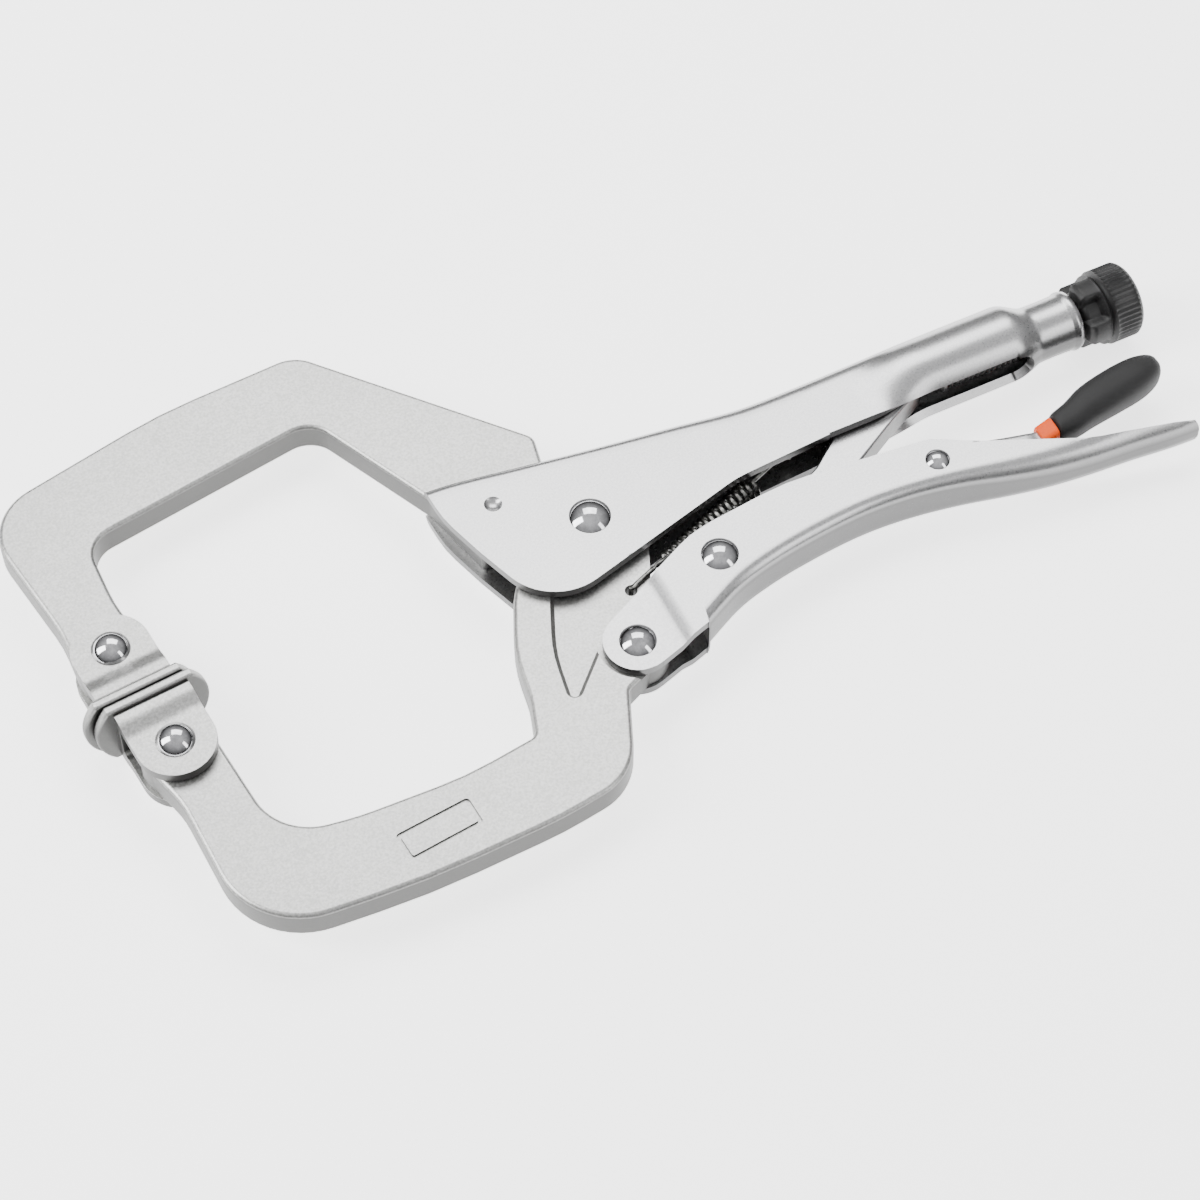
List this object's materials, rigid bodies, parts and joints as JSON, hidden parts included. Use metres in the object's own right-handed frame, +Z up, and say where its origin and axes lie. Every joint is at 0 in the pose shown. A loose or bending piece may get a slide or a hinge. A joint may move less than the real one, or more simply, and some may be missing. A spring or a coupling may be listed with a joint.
{
  "type": "locking pliers",
  "caption": "Locking C-clamp pliers with deep flat jaws, swivel pads, a toggle lock set by a knobbed screw and a gripped release lever.",
  "frame": {"origin": "under the middle of the tool, on the surface that it lies on, lying on its side", "axes": "+X along the adjusting screw towards its knob, +Y from the lower handle to the fixed handle, +Z up through the tool's thickness"},
  "size_m": [0.2753, 0.145, 0.02],
  "materials": {
    "satin_steel": "satin nickel plated steel, fine grained",
    "polished_rivet": "polished domed rivet",
    "spring_steel": "drawn spring wire",
    "black_plastic": "textured black moulding",
    "grip_rubber": "matte soft grip",
    "orange_plastic": "smooth orange moulding"
  },
  "bodies": {
    "frame": {"fixed_handle": "satin_steel", "fixed_jaw": "satin_steel", "main_pivot_rivet": "polished_rivet", "fixed_pad_rivet": "polished_rivet", "return_spring": "spring_steel"},
    "jaw": {"moving_jaw": "satin_steel", "handle_pivot_rivet": "polished_rivet", "moving_pad_rivet": "polished_rivet"},
    "handle": {"lower_handle": "satin_steel", "link_pivot_rivet": "polished_rivet", "release_lever_rivet": "polished_rivet"},
    "link": {"toggle_link": "satin_steel"},
    "lever": {"release_lever": "satin_steel", "grip_collar": "orange_plastic", "release_lever_grip": "grip_rubber"},
    "screw": {"adjusting_screw": "satin_steel"},
    "knob": {"screw_knob": "black_plastic"},
    "upper_pad": {"fixed_pad": "satin_steel"},
    "lower_pad": {"moving_pad": "satin_steel"}
  },
  "joints": [
    {"name": "jaw_hinge", "type": "hinge", "parent": "frame", "child": "jaw", "pos_m": [-0.01066, -0.00337, 0.01], "axis": [0, 0, 1], "range_deg": [0, 20], "deforming": ["return_spring"]},
    {"name": "handle_hinge", "type": "hinge", "parent": "jaw", "child": "handle", "pos_m": [-0.01586, -0.03837, 0.01], "axis": [0, 0, 1], "range_deg": [-61, 0]},
    {"name": "link_hinge", "type": "hinge", "parent": "handle", "child": "link", "pos_m": [0.01134, -0.02627, 0.01], "axis": [0, 0, 1], "range_deg": [0, 61.5]},
    {"name": "release_hinge", "type": "hinge", "parent": "handle", "child": "lever", "pos_m": [0.06954, -0.02507, 0.01], "axis": [0, 0, 1], "range_deg": [-5, 2.5]},
    {"name": "screw_slide", "type": "slide", "parent": "frame", "child": "screw", "axis": [1, 0, 0], "range_m": [0, 0.02]},
    {"name": "knob_turn", "type": "hinge", "parent": "screw", "child": "knob", "pos_m": [0.12934, 0.00143, 0.01], "axis": [1, 0, 0], "range_deg": [0, 4801]},
    {"name": "fixed_pad_swivel", "type": "hinge", "parent": "frame", "child": "upper_pad", "pos_m": [-0.12386, 0.01143, 0.01], "axis": [0, 0, 1], "range_deg": [0, 10]},
    {"name": "moving_pad_swivel", "type": "hinge", "parent": "jaw", "child": "lower_pad", "pos_m": [-0.11996, -0.01737, 0.01], "axis": [0, 0, 1], "range_deg": [-10, 0]}
  ],
  "couplings": [
    {"joint": "handle_hinge", "follows": "jaw_hinge", "ratio": -3.035},
    {"joint": "link_hinge", "follows": "jaw_hinge", "ratio": 3.055},
    {"joint": "fixed_pad_swivel", "follows": "jaw_hinge", "ratio": 0.5},
    {"joint": "moving_pad_swivel", "follows": "jaw_hinge", "ratio": -0.5},
    {"joint": "knob_turn", "follows": "screw_slide", "rad_per_m": 4188.8}
  ]
}
